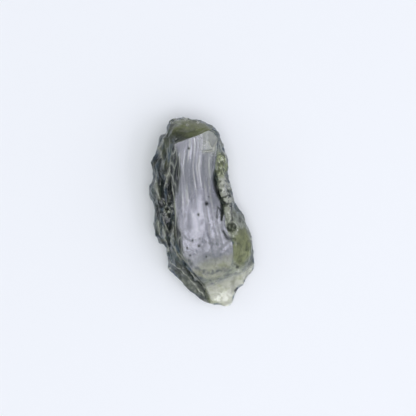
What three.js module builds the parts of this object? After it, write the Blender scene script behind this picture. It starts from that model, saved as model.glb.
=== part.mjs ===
// A raw moldavite: one natural piece of olive-green impact glass, lying on its etched underside.
// Millimetres, X across, Y along and Z up. The upper side is a broad, smooth, slightly dished break.
// Round it the old skin is left, with the ribs, lumps, cups and the groove that the soil etched.
// Every point of the skin is found from two numbers: which ring it is on, counted out from the
// middle of the break or of the underside to the rim, and its heading round the stone.
import * as THREE from 'three';
import { ImprovedNoise } from 'three/addons/math/ImprovedNoise.js';
import { mergeVertices } from 'three/addons/utils/BufferGeometryUtils.js';

// Driving dimensions of the whole stone
const HALF_LENGTH = 11;
const HALF_WIDTH = 5.6;
const RIM = { height: 2.5, risePerMm: 0.115, waveHeight: 0.9, wavePitch: 4.5, waveLevel: 7.3 };
const REST_SPOT = { x: -0.35, y: 0.3, halfWidth: 1.9, halfLength: 3.6 };

// The break: its height over the middle, how it slopes, how deep it is dished and where it rolls off
const BREAK_HEIGHT = 5.35;
const BREAK_SLOPE_X = -0.285;
const BREAK_SLOPE_Y = 0.06;
const BREAK_DISH = { acrossHalf: 2.7, acrossDepth: 0.14, alongHalf: 8, alongDepth: 0.42 };
const ROLL_OFF = { startY: -4.4, curve: 0.12 };
// The break's upper right corner falls away beyond a crease: a point on it, its heading and the fall
const CORNER = { x: 0.05, y: 8.8, awayX: 0.894, awayY: 0.447, fall: 0.4 };

// How finely the stone is divided
const RINGS = 34;
const BREAK_RINGS = 13;
const REST_RINGS = 8;
const LOOP_SAMPLES = 1440;

// The outline from above, from the top end round by the left side
const OUTLINE = [
  [-2.8, 11.0], [-3.65, 10.6], [-4.15, 9.8], [-4.85, 9.0], [-5.2, 8.2], [-5.1, 7.45], [-5.8, 6.1],
  [-5.95, 5.1], [-5.8, 4.15], [-6.15, 3.05], [-6.05, 1.95], [-5.7, 0.8], [-5.7, -1.05], [-5.65, -2.5],
  [-5.3, -3.3], [-4.55, -3.9], [-4.25, -4.6], [-3.95, -6.25], [-3.35, -7.4], [-2.15, -8.7],
  [-1.4, -9.4], [0.4, -10.6], [2.15, -10.8], [2.75, -11.0], [3.4, -10.7], [3.55, -10.0], [4.05, -8.9],
  [5.4, -7.5], [6.0, -6.65], [6.1, -5.85], [5.85, -4.6], [5.8, -3.5], [5.2, -1.7], [4.75, -0.4],
  [4.2, 0.35], [3.7, 1.55], [3.05, 4.0], [3.0, 5.3], [2.8, 6.25], [2.15, 8.55], [1.7, 9.35],
  [0.85, 10.0], [0.05, 10.5], [-0.95, 10.65], [-1.9, 10.85],
];

// The edge of the break, from its upper right corner round by the left side
const BREAK_EDGE = [
  [0.5, 9.25], [-0.2, 8.8], [-1.7, 8.2], [-3.05, 7.75], [-3.55, 6.5], [-3.65, 4.75], [-3.3, 2.65],
  [-3.05, 0.95], [-3.0, -1.05], [-2.9, -2.65], [-2.5, -4.3], [-1.8, -5.65], [-0.75, -6.95],
  [0.75, -7.55], [2.25, -7.05], [3.2, -5.9], [3.4, -4.3], [3.2, -2.9], [2.6, -1.75], [2.45, -0.25],
  [2.05, 0.95], [1.55, 2.3], [1.25, 3.8], [1.25, 5.45], [1.55, 6.95], [1.7, 8.2], [1.2, 9.05],
];
const EDGE_WANDER = { height: 0.07, pitch: 1.1, level: 2.1 };

// Etched relief: cups all over the skin, ribs along the left flank and lumps along its rim
const CUP = { count: 260, smallest: 0.65, largest: 1.3, depth: 0.34, stretch: 1.7 };
const CUP_SEED = 11;
const SWELL = { pitch: 3.4, height: 0.3 };
const RIBS = { pitch: 0.95, height: 0.17, lean: 0.35, wander: 0.5, wanderPitch: 2.6 };
const FLANK_LUMPS = { pitch: 1.5, height: 0.52 };
// Where the left flank's ribs and lumps start and are full, across and along the stone
const LEFT_FLANK = { startX: -2.2, fullX: -3.2, bluntEnd: 8, bluntFull: 6, tipFull: -3.5, tipEnd: -5.5 };

// The strip right of the break: lumps as x, y, half width, half length and height
const STRIP_LUMPS = [
  [2.4, 6.15, 0.55, 0.7, 0.2],
  [2.3, 5.1, 0.5, 0.65, 0.2],
  [2.35, 3.95, 0.55, 0.7, 0.26],
  [2.4, 2.6, 0.7, 0.75, 0.3],
  [2.75, 1.35, 0.55, 0.65, 0.28],
  [3.05, 0.05, 0.6, 1.0, 0.34],
  [2.6, -1.4, 0.5, 0.55, 0.2],
];
// Its groove as x, y and half width, deep at the upper end and a fine crack at the lower
const GROOVE = [
  [1.35, 4.9, 0.25], [1.5, 3.8, 0.35], [1.65, 2.9, 0.32], [2.0, 1.85, 0.28], [2.4, 0.9, 0.25],
];
const GROOVE_DEPTH = 0.4;
// Single pits as x, y, radius and depth: the round one by the strip, a small one, and the left group
const PITS = [
  [3.3, -2.05, 0.62, 0.7],
  [4.0, -6.5, 0.34, 0.25],
  [-4.6, 0.6, 0.42, 0.4],
  [-3.75, 0.85, 0.4, 0.38],
  [-4.05, -0.1, 0.38, 0.4],
  [-4.95, -0.3, 0.36, 0.3],
];
// Places on the upper side where the skin is a fresh chip with hardly any relief, as soft ovals
const CHIPS = [
  [-1.5, 9.5, 2.7, 1.5],
  [4.45, -3.9, 1.25, 2.4],
  [2.3, -9.0, 2.5, 1.9],
];
const CHIP_RELIEF = 0.15;
const CHIP_FADE = { start: 0.75, end: 1.15 };

// How the skin leaves the edge of the break and the rim, from 0, straight, to 1, a quarter round
const FLANK_ROUNDNESS = 0.65;
const UNDERSIDE_ROUNDNESS = 0.82;
// The strip right of the break is a shelf: it leaves the break nearly level and drops at the rim
const SHELF = { roundness: 1, startX: 0, fullX: 1.5, startY: -3, fullY: -1.5 };
// The lower tip is a thin wedge, nearly straight above and below
const TIP = { startY: -4.5, fullY: -8.5, flankRoundness: 0.05, undersideRoundness: 0.15 };

// How the relief fades in from a border, in rings, and how much of it is left at the rim
const RELIEF_AT_RIM = 0.45;
const RIM_FADE_START = 0.8;
const RELIEF_REACH = 0.16;
const NAMED_REACH = 0.06;
// A flank narrower than this, seen from above, carries less relief, and none at the lower figure
const NARROW_FLANK = { bare: 0.3, full: 2.2 };

const noise = new ImprovedNoise();
const { clamp, lerp, smoothstep, seededRandom } = THREE.MathUtils;

// A closed curve through the points, as the distance from the origin in every direction
function radiusByHeading(points) {
  const corners = points.map(([x, y]) => new THREE.Vector3(x, y, 0));
  const curve = new THREE.CatmullRomCurve3(corners, true, 'centripetal');
  const samples = curve.getPoints(LOOP_SAMPLES).slice(0, -1);
  const polar = samples.map((p) => ({ heading: Math.atan2(p.y, p.x), radius: Math.hypot(p.x, p.y) }));
  polar.sort((a, b) => a.heading - b.heading);
  const first = polar[0];
  const last = polar[polar.length - 1];
  polar.unshift({ heading: last.heading - 2 * Math.PI, radius: last.radius });
  polar.push({ heading: first.heading + 2 * Math.PI, radius: first.radius });
  return (heading) => {
    let low = 0;
    let high = polar.length - 1;
    while (high - low > 1) {
      const middle = (low + high) >> 1;
      if (polar[middle].heading <= heading) low = middle;
      else high = middle;
    }
    const span = polar[high].heading - polar[low].heading;
    const share = span > 0 ? (heading - polar[low].heading) / span : 0;
    return lerp(polar[low].radius, polar[high].radius, share);
  };
}

const outlineRadius = radiusByHeading(OUTLINE);
const edgeRadius = radiusByHeading(BREAK_EDGE);

function waves(x, y, z, pitch) {
  return noise.noise(x / pitch, y / pitch, z / pitch);
}

// Height of the broken surface over a point
function breakHeight(x, y) {
  const across = BREAK_DISH.acrossDepth * (x / BREAK_DISH.acrossHalf) ** 2;
  const along = BREAK_DISH.alongDepth * (Math.max(y, ROLL_OFF.startY) / BREAK_DISH.alongHalf) ** 2;
  const rollOff = ROLL_OFF.curve * Math.min(y - ROLL_OFF.startY, 0) ** 2;
  const beyondCrease = Math.max(0, CORNER.awayX * (x - CORNER.x) + CORNER.awayY * (y - CORNER.y));
  const middle = BREAK_HEIGHT + BREAK_SLOPE_X * x + BREAK_SLOPE_Y * y;
  return middle + across + along - rollOff - CORNER.fall * beyondCrease;
}

function rimHeight(x, y) {
  return RIM.height + RIM.risePerMm * y + RIM.waveHeight * waves(x, y, RIM.waveLevel, RIM.wavePitch);
}

function polarPoint(heading, radius) {
  return new THREE.Vector3(radius * Math.cos(heading), radius * Math.sin(heading), 0);
}

function rimPoint(heading) {
  const p = polarPoint(heading, outlineRadius(heading));
  p.z = rimHeight(p.x, p.y);
  return p;
}

function edgePoint(heading) {
  const p = polarPoint(heading, edgeRadius(heading));
  const wander = EDGE_WANDER.height * waves(p.x, p.y, EDGE_WANDER.level, EDGE_WANDER.pitch);
  p.multiplyScalar(1 + wander / p.length());
  p.z = breakHeight(p.x, p.y);
  return p;
}

// A roundness over the stone, which gives way to the tip's own towards the tip
function roundnessAt(y, ofStone, ofTip) {
  return lerp(ofStone, ofTip, smoothstep(-y, -TIP.startY, -TIP.fullY));
}

// A point on the upper side: on the break up to its edge, then down the flank to the rim
function upperPoint(ring, heading) {
  const edge = edgePoint(heading);
  const edgeRing = BREAK_RINGS / RINGS;
  if (ring <= edgeRing) {
    const p = edge.clone().multiplyScalar(ring / edgeRing);
    p.z = breakHeight(p.x, p.y);
    return p;
  }
  const share = (ring - edgeRing) / (1 - edgeRing);
  const turn = (share * Math.PI) / 2;
  const rim = rimPoint(heading);
  const shelf = smoothstep(rim.x, SHELF.startX, SHELF.fullX) * smoothstep(rim.y, SHELF.startY, SHELF.fullY);
  const ofStone = lerp(FLANK_ROUNDNESS, SHELF.roundness, shelf);
  const roundness = roundnessAt(rim.y, ofStone, TIP.flankRoundness);
  const out = lerp(share, Math.sin(turn), roundness);
  const down = lerp(share, 1 - Math.cos(turn), roundness);
  const p = edge.clone().lerp(rim, out);
  p.z = lerp(edge.z, rim.z, down);
  return p;
}

// A point on the underside: on the resting spot up to its edge, then up to the rim
function lowerPoint(ring, heading) {
  const spot = new THREE.Vector3(
    REST_SPOT.x + REST_SPOT.halfWidth * Math.cos(heading),
    REST_SPOT.y + REST_SPOT.halfLength * Math.sin(heading),
    0,
  );
  const centre = new THREE.Vector3(REST_SPOT.x, REST_SPOT.y, 0);
  const spotRing = REST_RINGS / RINGS;
  if (ring <= spotRing) return centre.lerp(spot, ring / spotRing);
  const share = (ring - spotRing) / (1 - spotRing);
  const turn = (share * Math.PI) / 2;
  const rim = rimPoint(heading);
  const roundness = roundnessAt(rim.y, UNDERSIDE_ROUNDNESS, TIP.undersideRoundness);
  const out = lerp(share, Math.sin(turn), roundness);
  const up = lerp(share, 1 - Math.cos(turn), roundness);
  const p = spot.lerp(rim, out);
  p.z = rim.z * up;
  return p;
}

function skinPoint(ring, heading, isUpper) {
  return isUpper ? upperPoint(ring, heading) : lowerPoint(ring, heading);
}

// Headings are spread so that the rings' points stand about evenly along a long oval
function headingOf(angle) {
  return Math.atan2(HALF_LENGTH * Math.sin(angle), HALF_WIDTH * Math.cos(angle));
}

// Cups strewn evenly over the stone on a golden-angle spiral, each with a size of its own
function strewCups() {
  const random = seededRandom;
  random(CUP_SEED);
  const goldenAngle = Math.PI * (3 - Math.sqrt(5));
  const cups = [];
  for (let i = 0; i < CUP.count; i++) {
    const level = 1 - (2 * (i + 0.5)) / CUP.count;
    const ring = Math.sqrt(1 - Math.abs(level));
    const angle = ((i * goldenAngle + Math.PI) % (2 * Math.PI)) - Math.PI;
    const centre = skinPoint(ring, headingOf(angle), level > 0);
    cups.push({ centre, radius: lerp(CUP.smallest, CUP.largest, random()) });
  }
  return cups;
}
const cups = strewCups();

// Depth of the deepest cup over a point, which leaves sharp crests where two cups meet
function cupDepth(p) {
  let deepest = 0;
  for (const { centre, radius } of cups) {
    const dx = p.x - centre.x;
    const dy = (p.y - centre.y) / CUP.stretch;
    const dz = p.z - centre.z;
    const share = 1 - (dx * dx + dy * dy + dz * dz) / (radius * radius);
    deepest = Math.max(deepest, share * radius);
  }
  return deepest * CUP.depth;
}

function ovalShare(x, y, [cx, cy, halfWidth, halfLength]) {
  return Math.hypot((x - cx) / halfWidth, (y - cy) / halfLength);
}

function lumpHeight(x, y) {
  let height = 0;
  for (const lump of STRIP_LUMPS) {
    const share = ovalShare(x, y, lump);
    height = Math.max(height, lump[4] * Math.max(0, 1 - share * share));
  }
  return height;
}

function pitDepth(x, y) {
  let depth = 0;
  for (const [cx, cy, radius, deep] of PITS) {
    const share = Math.hypot(x - cx, y - cy) / radius;
    depth = Math.max(depth, deep * Math.max(0, 1 - share ** 3));
  }
  return depth;
}

function grooveDepth(x, y) {
  const here = new THREE.Vector2(x, y);
  let depth = 0;
  for (let i = 1; i < GROOVE.length; i++) {
    const from = new THREE.Vector2(GROOVE[i - 1][0], GROOVE[i - 1][1]);
    const along = new THREE.Vector2(GROOVE[i][0], GROOVE[i][1]).sub(from);
    const share = clamp(here.clone().sub(from).dot(along) / along.lengthSq(), 0, 1);
    const halfWidth = lerp(GROOVE[i - 1][2], GROOVE[i][2], share);
    const away = here.distanceTo(from.addScaledVector(along, share)) / halfWidth;
    depth = Math.max(depth, GROOVE_DEPTH * Math.exp(-away * away));
  }
  return depth;
}

// Width of the flank between the break's edge and the rim, seen from above
function flankWidth(p) {
  const heading = Math.atan2(p.y, p.x);
  return outlineRadius(heading) - edgeRadius(heading);
}

// How much of the etched relief a point carries: none on the break, little on a fresh chip
function reliefShare(p, ring, isUpper) {
  const rimFade = lerp(1, RELIEF_AT_RIM, smoothstep(ring, RIM_FADE_START, 1));
  if (!isUpper) return rimFade * smoothstep(ring, REST_RINGS / RINGS, REST_RINGS / RINGS + RELIEF_REACH);
  const nearest = Math.min(...CHIPS.map((chip) => ovalShare(p.x, p.y, chip)));
  const chipFade = lerp(CHIP_RELIEF, 1, smoothstep(nearest, CHIP_FADE.start, CHIP_FADE.end));
  const edge = BREAK_RINGS / RINGS;
  const roomy = smoothstep(flankWidth(p), NARROW_FLANK.bare, NARROW_FLANK.full);
  return rimFade * chipFade * roomy * smoothstep(ring, edge, edge + RELIEF_REACH);
}

// Height of the relief over the smooth stone
function relief(p, ring, isUpper) {
  let height = SWELL.height * waves(p.x, p.y, p.z, SWELL.pitch) - cupDepth(p);
  if (!isUpper) return height * reliefShare(p, ring, isUpper);
  const leftward = smoothstep(-p.x, -LEFT_FLANK.startX, -LEFT_FLANK.fullX);
  const belowBlunt = smoothstep(-p.y, -LEFT_FLANK.bluntEnd, -LEFT_FLANK.bluntFull);
  const left = leftward * belowBlunt * smoothstep(p.y, LEFT_FLANK.tipEnd, LEFT_FLANK.tipFull);
  const across = p.x - RIBS.lean * p.z + RIBS.wander * waves(p.x, p.y, p.z, RIBS.wanderPitch);
  height += left * RIBS.height * Math.sin((2 * Math.PI * across) / RIBS.pitch);
  height += left * FLANK_LUMPS.height * waves(p.x, p.y, p.z, FLANK_LUMPS.pitch);
  const named = lumpHeight(p.x, p.y) - pitDepth(p.x, p.y) - grooveDepth(p.x, p.y);
  const offBreak = smoothstep(ring, BREAK_RINGS / RINGS, BREAK_RINGS / RINGS + NAMED_REACH);
  return height * reliefShare(p, ring, isUpper) + named * offBreak;
}

// The stone: an octahedron ball, whose points lie in rings, laid out on the skin and then etched
function stoneGeometry() {
  const ball = new THREE.OctahedronGeometry(1, RINGS - 1);
  ball.deleteAttribute('normal');
  ball.deleteAttribute('uv');
  const geometry = mergeVertices(ball);
  const position = geometry.attributes.position;
  const places = [];
  for (let i = 0; i < position.count; i++) {
    const [x, y, z] = position.array.slice(3 * i, 3 * i + 3);
    const level = Math.abs(x) + Math.abs(y);
    const ring = level / (level + Math.abs(z));
    const quarter = level > 0 ? ((Math.abs(y) / level) * Math.PI) / 2 : 0;
    const half = x < 0 ? Math.PI - quarter : quarter;
    const heading = headingOf(y < 0 ? -half : half);
    const place = { ring, isUpper: z >= 0, point: skinPoint(ring, heading, z >= 0) };
    position.setXYZ(i, place.point.x, place.point.y, place.point.z);
    places.push(place);
  }
  geometry.computeVertexNormals();
  const normal = geometry.attributes.normal;
  places.forEach(({ ring, isUpper, point }, i) => {
    const out = new THREE.Vector3().fromBufferAttribute(normal, i);
    const p = point.clone().addScaledVector(out, relief(point, ring, isUpper));
    position.setXYZ(i, p.x, p.y, Math.max(p.z, 0));
  });
  geometry.computeBoundingBox();
  const middle = geometry.boundingBox.getCenter(new THREE.Vector3());
  geometry.translate(-middle.x, -middle.y, -geometry.boundingBox.min.z);
  geometry.computeVertexNormals();
  return geometry;
}

const glass = new THREE.MeshStandardMaterial({ color: 0x5c6448, roughness: 0.2, metalness: 0 });
const moldavite = new THREE.Mesh(stoneGeometry(), glass);
moldavite.name = 'moldavite';

const stone = new THREE.Group();
stone.add(moldavite);

export default stone;
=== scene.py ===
# %% [markdown]
# # A raw moldavite in see-through glass
# A moldavite is a splash of natural glass. This one is a small olive-green stone, thick and nearly
# black on the left, thin and pale at its lower tip. A broad smooth break runs down its upper side,
# and round the break the old skin keeps the pits, ribs and lumps that the soil etched into it.
# This lesson takes the finished solid as it is packed, copies it, cuts the fine relief into the
# copy and gives it the optics of real glass: a refractive index, and a green that deepens with
# every millimetre that the light travels.

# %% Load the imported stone
import math

import bmesh
import bpy
import numpy as np
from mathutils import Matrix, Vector, bvhtree, kdtree, noise


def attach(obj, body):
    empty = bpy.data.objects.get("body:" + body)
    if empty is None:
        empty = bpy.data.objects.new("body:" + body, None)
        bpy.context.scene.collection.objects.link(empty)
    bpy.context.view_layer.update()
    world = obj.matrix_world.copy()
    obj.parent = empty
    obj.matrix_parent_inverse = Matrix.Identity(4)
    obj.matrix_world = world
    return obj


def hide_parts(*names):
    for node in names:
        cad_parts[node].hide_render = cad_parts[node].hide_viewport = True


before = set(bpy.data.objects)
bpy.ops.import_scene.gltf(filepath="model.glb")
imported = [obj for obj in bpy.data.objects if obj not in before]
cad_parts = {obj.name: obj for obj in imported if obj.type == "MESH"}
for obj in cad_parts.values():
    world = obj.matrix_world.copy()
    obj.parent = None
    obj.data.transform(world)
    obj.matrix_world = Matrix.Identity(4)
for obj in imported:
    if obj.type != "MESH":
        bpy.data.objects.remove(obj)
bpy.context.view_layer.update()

MM = 0.001

# %% [markdown]
# ## The view
# The stone is seen from straight above, as on a light table. A long lens keeps its sides from
# leaning outwards, so the camera stands well back. The stone lies a little left of the middle of
# the picture and a little below it, so the camera looks at a point to the upper right of it.

# %% Camera
PICTURE_WIDTH = 47.7 * MM
LOOK_AT = Vector((0.64 * MM, 0.57 * MM, 3.0 * MM))
LENS_MM = 100.0
SENSOR_MM = 36.0
SEES_FROM = 0.01
SEES_TO = 5.0

camera = bpy.data.objects.new("camera", bpy.data.cameras.new("camera"))
camera.data.lens = LENS_MM
camera.data.sensor_width = SENSOR_MM
camera.data.clip_start = SEES_FROM
camera.data.clip_end = SEES_TO
camera.location = LOOK_AT + Vector((0, 0, PICTURE_WIDTH * LENS_MM / SENSOR_MM))
bpy.context.scene.collection.objects.link(camera)
bpy.context.scene.camera = camera
print("camera stands", round(camera.location.z / MM), "mm above the ground")

# %% [markdown]
# ## The ground
# Glass shows what surrounds it, so light and ground matter more here than for a dull stone. The
# ground is near-white paper: the thin tip lets it shine through, and the thick left side doesn't.
# It is wide enough to fill the picture from all but the lowest views, and dull, so that no lamp
# shows in it.

# %% Ground
GROUND_SIZE = 0.9
GROUND_COLOUR = (0.89, 0.90, 0.92, 1)
GROUND_ROUGHNESS = 0.8
GROUND_GLOSS = 0.1

ground_mesh = bpy.data.meshes.new("ground")
bm = bmesh.new()
bmesh.ops.create_grid(bm, x_segments=1, y_segments=1, size=GROUND_SIZE / 2)
bm.to_mesh(ground_mesh)
bm.free()
ground = bpy.data.objects.new("ground", ground_mesh)
bpy.context.scene.collection.objects.link(ground)
paper = bpy.data.materials.new("pale_ground")
paper.use_nodes = True
paper_shader = paper.node_tree.nodes["Principled BSDF"]
paper_shader.inputs["Base Color"].default_value = GROUND_COLOUR
paper_shader.inputs["Roughness"].default_value = GROUND_ROUGHNESS
paper_shader.inputs["Specular IOR Level"].default_value = GROUND_GLOSS
ground_mesh.materials.append(paper)
print("ground is", GROUND_SIZE, "m wide")

# %% [markdown]
# ## The lamps
# Glossy glass mirrors its lamps, so the edge of a lamp draws an edge on the stone. A long soft lamp
# stands to the right, where the break mirrors it straight up into the lens: that is the lilac-grey
# sheen on the break. It is narrow across the stone and long along it, so the faint lengthwise steps
# of the break show as streaks. One oval would end too sharply. Five ovals, small and bright in
# front, wide and dim behind, fade out together as one very soft lamp.

# %% The long soft lamp on the right
STONE_MIDDLE = Vector((0, 0, 3.5 * MM))
LAMP_WAY = Vector((0.575, -0.11, 0.81)).normalized()
LAMP_DISTANCE = 0.45
LAMP_RINGS = [
    (0.036, 0.2, 4.0), (0.09, 0.32, 0.65), (0.18, 0.46, 0.33), (0.3, 0.66, 0.27), (0.4, 0.95, 0.22),
]
LAMP_RING_GAP = 0.01
LAMP_COLOUR = (0.87, 0.86, 1.0)


def soft_lamp(name, way, distance, size, radiance, colour):
    """Hangs an oval soft lamp that looks at the stone, of a width across it and a length along it."""
    data = bpy.data.lights.new(name, "AREA")
    data.shape = "ELLIPSE"
    data.size_y, data.size = size
    data.energy = radiance * math.pi * math.pi / 4 * size[0] * size[1]
    data.color = colour
    lamp = bpy.data.objects.new(name, data)
    lamp.location = STONE_MIDDLE + way * distance
    lamp.rotation_euler = (-way).to_track_quat("-Z", "Y").to_euler()
    bpy.context.scene.collection.objects.link(lamp)
    print(name, "gives", round(data.energy, 3), "W")


for k, (wide, long, radiance) in enumerate(LAMP_RINGS):
    distance = LAMP_DISTANCE + k * LAMP_RING_GAP
    soft_lamp(f"lamp_{k}", LAMP_WAY, distance, (wide, long), radiance, LAMP_COLOUR)
tilt = math.degrees(LAMP_WAY.angle(Vector((0, 0, 1))))
print("the lamp stands", round(tilt), "degrees off straight up")

# %% [markdown]
# A wide lamp overhead lights the ground evenly and gives the fresh chips and the bent corner their
# pale shine. A narrow weak one low on the left picks out the ribs of the steep flank, which would
# otherwise be black.

# %% The lamps overhead and on the left
TOP_WAY = Vector((0.05, -0.14, 1)).normalized()
TOP_DISTANCE = 0.55
TOP_SIZE = (0.42, 0.42)
TOP_RADIANCE = 2.75
TOP_COLOUR = (0.95, 0.97, 1.0)
LEFT_WAY = Vector((-0.86, 0.15, 0.48)).normalized()
LEFT_SIZE = (0.05, 0.3)
LEFT_RADIANCE = 2.5
LEFT_COLOUR = (0.85, 0.94, 1.0)

soft_lamp("top_lamp", TOP_WAY, TOP_DISTANCE, TOP_SIZE, TOP_RADIANCE, TOP_COLOUR)
soft_lamp("left_lamp", LEFT_WAY, LAMP_DISTANCE, LEFT_SIZE, LEFT_RADIANCE, LEFT_COLOUR)

# %% [markdown]
# ## The room
# The room round a light table is dimmer low down than overhead. The sky does the same: it fades
# towards the horizon, so the steep flanks mirror a dark room and look deep, while the ground stays
# bright. The sky has no shape of its own, so the fade comes from the direction that is looked in.

# %% A sky that fades towards the horizon
SKY_COLOUR = (0.93, 0.96, 1.0, 1)
SKY_OVERHEAD = 0.5
SKY_AT_HORIZON = 0.3
SKY_FULL_FROM = 0.8

sky = bpy.data.worlds.new("sky")
sky.use_nodes = True
nodes = sky.node_tree.nodes
links = sky.node_tree.links
way_up = nodes.new("ShaderNodeSeparateXYZ")
direction = nodes.new("ShaderNodeTexCoord").outputs["Generated"]
links.new(direction, way_up.inputs["Vector"])
fade = nodes.new("ShaderNodeMapRange")
fade.interpolation_type = "SMOOTHSTEP"
fade.inputs["From Max"].default_value = SKY_FULL_FROM
fade.inputs["To Min"].default_value = SKY_AT_HORIZON
fade.inputs["To Max"].default_value = SKY_OVERHEAD
links.new(way_up.outputs["Z"], fade.inputs["Value"])
print("sky fades from", SKY_OVERHEAD, "overhead to", SKY_AT_HORIZON, "at the horizon")

# %% [markdown]
# A room is seldom lit the same from all sides. Here the lower right is the bright side. A dot
# product says how far a direction points that way, and that share is added to the fade.

# %% The bright side of the sky
SKY_SIDE_GLOW = 0.43
SKY_SIDE_WAY = (0.75, -0.66, 0)

side = nodes.new("ShaderNodeVectorMath")
side.operation = "DOT_PRODUCT"
side.inputs[1].default_value = SKY_SIDE_WAY
links.new(direction, side.inputs[0])
near = nodes.new("ShaderNodeMapRange")
near.inputs["To Max"].default_value = SKY_SIDE_GLOW
links.new(side.outputs["Value"], near.inputs["Value"])
glow = nodes.new("ShaderNodeMath")
glow.operation = "ADD"
links.new(fade.outputs["Result"], glow.inputs[0])
links.new(near.outputs["Result"], glow.inputs[1])
nodes["Background"].inputs["Color"].default_value = SKY_COLOUR
links.new(glow.outputs["Value"], nodes["Background"].inputs["Strength"])
bpy.context.scene.world = sky
bpy.context.scene.view_settings.view_transform = "Standard"
print("the bright side adds up to", SKY_SIDE_GLOW)

# %% [markdown]
# ## Where the break lies
# The break and the old skin are treated differently all through this lesson, so the script has to
# know which points are on the break. In the solid the break is one smooth dished slope with a
# rolled-off lower end and a bent upper corner. The same formula gives its height here.


# %% Height of the break over a point, in millimetres
DRAWING_SHIFT = (0.0777, 0.0316)
BREAK_HEIGHT = 5.35
BREAK_SLOPE = (-0.285, 0.06)
BREAK_DISH_ACROSS = (2.7, 0.14)
BREAK_DISH_ALONG = (8.0, 0.42)
ROLL_OFF_START = -4.4
ROLL_OFF_CURVE = 0.12
CORNER_AT = (0.05, 8.8)
CORNER_AWAY = (0.894, 0.447)
CORNER_FALL = 0.4


def past_corner(x, y):
    """How far a point lies beyond the line where the break bends down."""
    return CORNER_AWAY[0] * (x - CORNER_AT[0]) + CORNER_AWAY[1] * (y - CORNER_AT[1])


def break_height(x, y):
    """The break's height over a place in the frame. The drawing is a little off the frame."""
    x = x - DRAWING_SHIFT[0]
    y = y - DRAWING_SHIFT[1]
    across = BREAK_DISH_ACROSS[1] * (x / BREAK_DISH_ACROSS[0]) ** 2
    along = BREAK_DISH_ALONG[1] * (max(y, ROLL_OFF_START) / BREAK_DISH_ALONG[0]) ** 2
    roll_off = ROLL_OFF_CURVE * min(y - ROLL_OFF_START, 0) ** 2
    slope = BREAK_SLOPE[0] * x + BREAK_SLOPE[1] * y
    return BREAK_HEIGHT + slope + across + along - roll_off - CORNER_FALL * max(0, past_corner(x, y))


print("the break is", round(break_height(0, 0), 2), "mm high over the middle")

# %% [markdown]
# ## A finer copy of the stone
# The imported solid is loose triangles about 0.4 mm wide, too coarse for etched glass. Its mesh is
# left alone. A copy is welded, so that its triangles share their points, and each point of the
# break is marked. Four layers on the points will carry the marks and, later, the colours.

# %% Weld the copy and mark its break
WELD_WITHIN = 0.001
ON_BREAK_WITHIN = 0.002

bm = bmesh.new()
bm.from_mesh(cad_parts["moldavite"].data)
bmesh.ops.remove_doubles(bm, verts=bm.verts, dist=WELD_WITHIN * MM)
for layer in ("on_break", "frost", "film"):
    bm.verts.layers.float.new(layer)
bm.verts.layers.float_vector.new("tint")
mark = bm.verts.layers.float["on_break"]
for v in bm.verts:
    off = abs(v.co.z / MM - break_height(v.co.x / MM, v.co.y / MM))
    v[mark] = 1.0 if off < ON_BREAK_WITHIN else 0.0
marked = int(sum(v[mark] for v in bm.verts))
print("marked", marked, "of", len(bm.verts), "points as lying on the break")

# %% [markdown]
# Dividing every edge twice makes the triangles about 0.1 mm wide. The break is divided once more,
# because its marks are the finest. Dividing keeps every edge where it was, so the sharp border of
# the break stays on its line, and a new point between two marked ones is marked too.

# %% Divide the copy
ROUNDS_ALL_OVER = 2
FULLY_MARKED = 0.999

for _ in range(ROUNDS_ALL_OVER):
    bmesh.ops.subdivide_edges(bm, edges=bm.edges, cuts=1, use_grid_fill=True)
fine = [e for e in bm.edges if all(v[mark] > FULLY_MARKED for v in e.verts)]
bmesh.ops.subdivide_edges(bm, edges=fine, cuts=1, use_grid_fill=True)
bmesh.ops.triangulate(bm, faces=bm.faces)
print("the copy has", len(bm.faces), "triangles")

# %% [markdown]
# ## Rounding the old skin
# The solid's skin is drawn in flats. Etched glass has none, so every point off the break is pulled
# towards its neighbours a few times. The break and its border stay where they are.

# %% Round the skin
SMOOTH_ROUNDS = 10
SMOOTH_SHARE = 0.5

skin = [v for v in bm.verts if v[mark] < FULLY_MARKED]
for _ in range(SMOOTH_ROUNDS):
    bmesh.ops.smooth_vert(
        bm, verts=skin, factor=SMOOTH_SHARE, use_axis_x=True, use_axis_y=True, use_axis_z=True
    )
bm.normal_update()
print("rounded", len(skin), "points of the skin")

# %% [markdown]
# ## Measuring every point
# The relief is worked out for all points at once. Each point needs its place, the way its surface
# faces, and how far it is from the break, because the etched relief fades out at that border. A
# search tree finds the nearest of many points quickly.


# %% Places, normals and distances in millimetres
def gap_to(points, places):
    """How far each place is from the nearest of the points."""
    search = kdtree.KDTree(len(points))
    for i, p in enumerate(points):
        search.insert(p, i)
    search.balance()
    return np.array([search.find(p)[2] for p in places])


verts = list(bm.verts)
place = np.array([v.co for v in verts]) / MM
facing = np.array([v.normal for v in verts])
on_break = np.array([v[mark] for v in verts]) > FULLY_MARKED
x = place[:, 0] - DRAWING_SHIFT[0]
y = place[:, 1] - DRAWING_SHIFT[1]
z = place[:, 2]
upper = facing[:, 2] > 0
away = gap_to(place[on_break], place)
print("farthest point is", round(away.max(), 1), "mm from the break")

# %% [markdown]
# ## Tools for etched relief
# Four simple patterns make all of it. Smooth noise gives swells. Folded noise gives furrows with
# sharp ridges between them. Cells give cups: the height rises with the distance from the nearest of
# many strewn points, so neighbouring cups meet in sharp crests, as acid pits do. The gap between
# the nearest two of those points gives blocks with cracks between them.


# %% Patterns
CUP_REACH = 0.75


def step(value, low, high):
    """Goes smoothly from 0 at low to 1 at high."""
    t = np.clip((value - low) / (high - low), 0, 1)
    return t * t * (3 - 2 * t)


def drawn_out(pitch, stretch=(1, 1, 1), shift=0.0):
    """The points' places, measured in pitches, with a pattern stretched along an axis."""
    scaled = np.stack([x, y, z], axis=1) / (pitch * np.array(stretch))
    return [Vector(p) for p in scaled + shift]


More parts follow.
